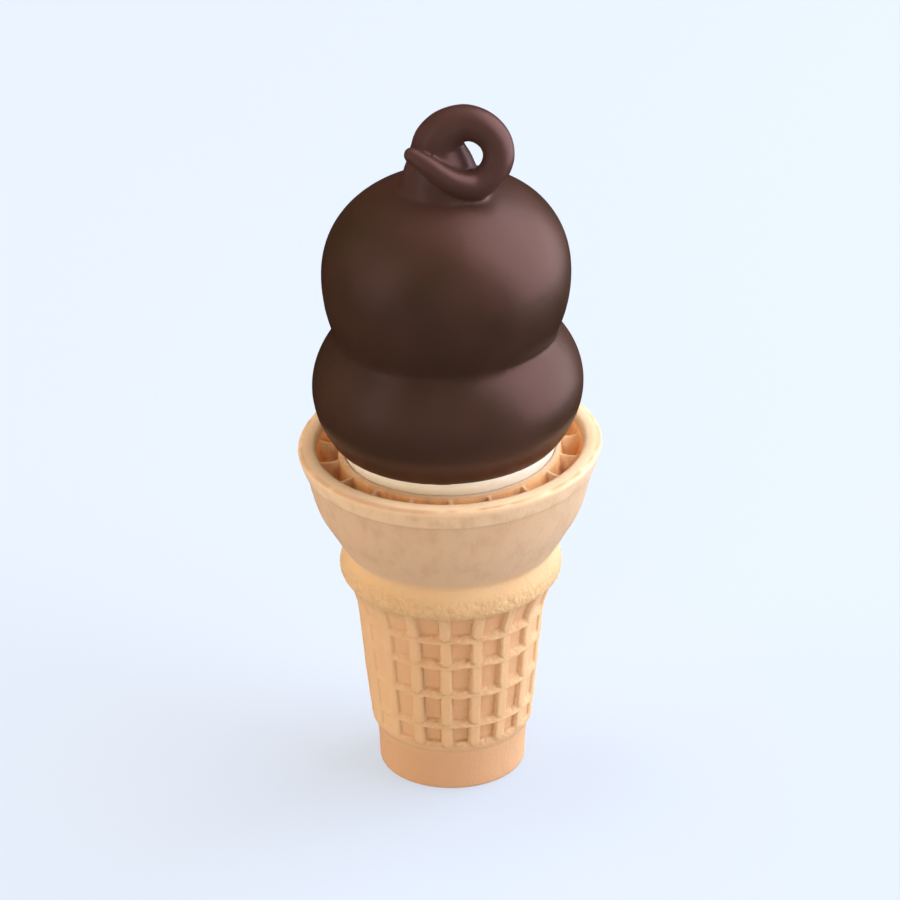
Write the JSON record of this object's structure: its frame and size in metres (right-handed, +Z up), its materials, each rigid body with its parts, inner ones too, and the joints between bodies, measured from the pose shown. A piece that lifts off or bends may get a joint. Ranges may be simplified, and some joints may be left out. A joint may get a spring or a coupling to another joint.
{
  "type": "soft serve cone",
  "caption": "Chocolate-dipped soft serve in two stacked turns with a looped curl, in a flat-bottomed wafer cone that stands upright.",
  "frame": {"origin": "centre of the flat base that the cone stands on", "axes": "+Z up along the cone's axis; the front, with the curl's tail across its neck, faces -Y; +X is to the right seen from the front"},
  "size_m": [0.0664, 0.0664, 0.1597],
  "materials": {
    "wafer": "dry baked wafer, matt, with fine pores",
    "soft_serve": "smooth pale vanilla cream, soft sheen",
    "chocolate": "set dark chocolate coat, satin"
  },
  "bodies": {
    "root": {"wafer_cone": "wafer", "soft_serve": "soft_serve", "chocolate_dip": "chocolate"}
  },
  "joints": []
}
